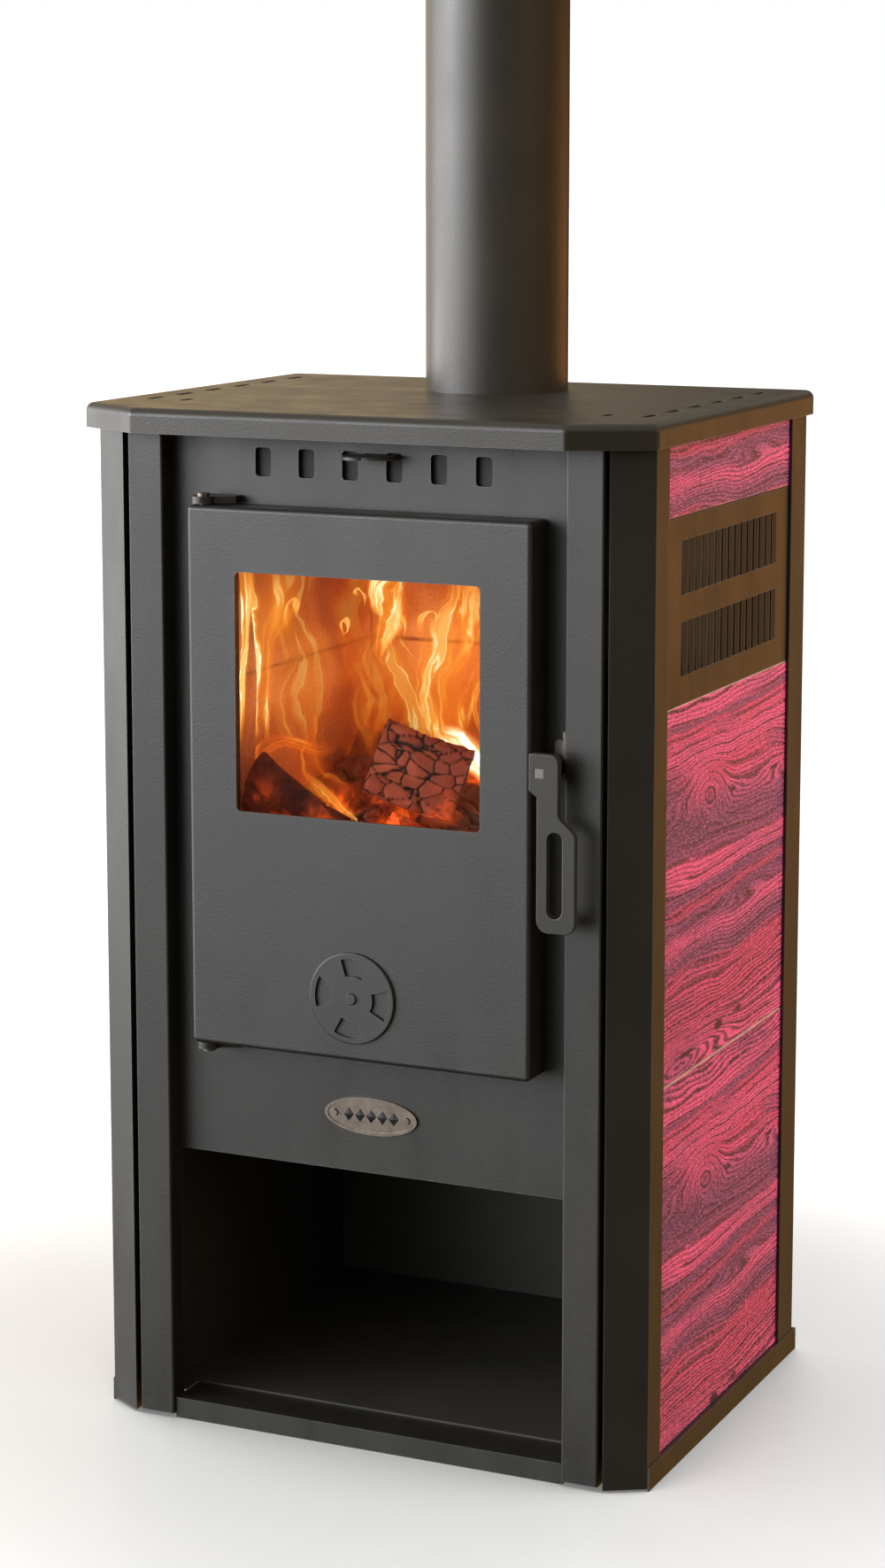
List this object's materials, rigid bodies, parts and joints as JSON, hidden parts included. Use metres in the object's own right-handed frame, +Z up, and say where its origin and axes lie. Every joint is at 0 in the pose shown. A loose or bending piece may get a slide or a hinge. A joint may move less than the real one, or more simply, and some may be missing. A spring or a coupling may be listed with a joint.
{
  "type": "wood burning stove",
  "caption": "Free-standing steel wood burning stove with a glazed hinged door, side tiles, an open log store below and a round flue pipe on top.",
  "frame": {"origin": "on the floor, below the middle of the top plate", "axes": "+Z up, -Y is the front, +X is towards the door handle's side"},
  "size_m": [0.494, 0.406, 1.344],
  "materials": {
    "plate_paint": "satin heat-proof paint",
    "casing_paint": "satin anthracite heat-proof paint",
    "door_paint": "satin anthracite heat-proof paint",
    "handle_paint": "satin grey paint, worn at the edges",
    "inner_paint": "dull dark paint",
    "flue_paint": "satin heat-proof paint",
    "raw_steel": "dull mill steel",
    "galvanised": "galvanised sheet",
    "decor_tile": "crimson wood-grain print",
    "firebrick": "vermiculite board",
    "cast_grate": "bare cast iron",
    "badge_metal": "worn nickel plate",
    "fire_glass": "ceramic glass",
    "rope": "braided glass-fibre rope",
    "burning_wood": "charred split logs with glowing cracks"
  },
  "bodies": {
    "root": {"top_plate": "plate_paint", "flue_collar": "raw_steel", "flue_pipe": "flue_paint", "left_corner_post": "casing_paint", "right_corner_post": "casing_paint", "left_front_strip": "casing_paint", "right_front_strip": "casing_paint", "left_rear_post": "casing_paint", "right_rear_post": "casing_paint", "left_lower_tile": "decor_tile", "left_middle_tile": "decor_tile", "left_upper_tile": "decor_tile", "right_lower_tile": "decor_tile", "right_middle_tile": "decor_tile", "right_upper_tile": "decor_tile", "left_louvre_panel": "casing_paint", "right_louvre_panel": "casing_paint", "left_plinth_rail": "casing_paint", "right_plinth_rail": "casing_paint", "front_sill": "casing_paint", "rear_rail": "casing_paint", "log_floor": "inner_paint", "left_inner_side": "inner_paint", "right_inner_side": "inner_paint", "log_store_ceiling": "inner_paint", "front_plate": "casing_paint", "back_panel": "inner_paint", "firebox_shell": "raw_steel", "left_firebrick": "firebrick", "right_firebrick": "firebrick", "back_firebricks": "firebrick", "baffle_plate": "firebrick", "grate": "cast_grate", "log_retainer": "cast_grate", "ash_shelf": "raw_steel", "ash_pan": "galvanised", "badge": "badge_metal", "badge_rivets": "badge_metal", "hinge_brackets": "casing_paint", "hinge_pins": "raw_steel", "door_catch": "raw_steel", "air_slide_guides": "raw_steel", "fire_logs": "burning_wood", "casing_screws": "raw_steel"},
    "door": {"door_shell": "door_paint", "door_liner": "inner_paint", "door_glass": "fire_glass", "glass_gasket": "rope", "glass_clips": "galvanised", "clip_screws": "raw_steel", "door_rope_seal": "rope", "hinge_bushes": "raw_steel", "handle_boss": "casing_paint", "rosette_rivet": "door_paint"},
    "rosette": {"air_rosette": "door_paint"},
    "handle": {"door_handle": "handle_paint", "handle_shaft": "raw_steel", "latch_cam": "raw_steel"},
    "air_slide": {"air_slide_plate": "raw_steel", "air_slide_lever": "handle_paint"}
  },
  "joints": [
    {"name": "door_hinge", "type": "hinge", "parent": "root", "child": "door", "pos_m": [-0.1365, -0.173, 0.5485], "axis": [0, 0, -1], "range_deg": [0, 110]},
    {"name": "handle_turn", "type": "hinge", "parent": "door", "child": "handle", "pos_m": [0.1633, -0.175, 0.577], "axis": [0, -1, 0], "range_deg": [-15, 90]},
    {"name": "rosette_turn", "type": "hinge", "parent": "door", "child": "rosette", "pos_m": [0, -0.1875, 0.3816], "axis": [0, -1, 0], "range_deg": [0, 45]},
    {"name": "air_slide_travel", "type": "slide", "parent": "root", "child": "air_slide", "axis": [-1, 0, 0], "range_m": [0, 0.019]}
  ]
}
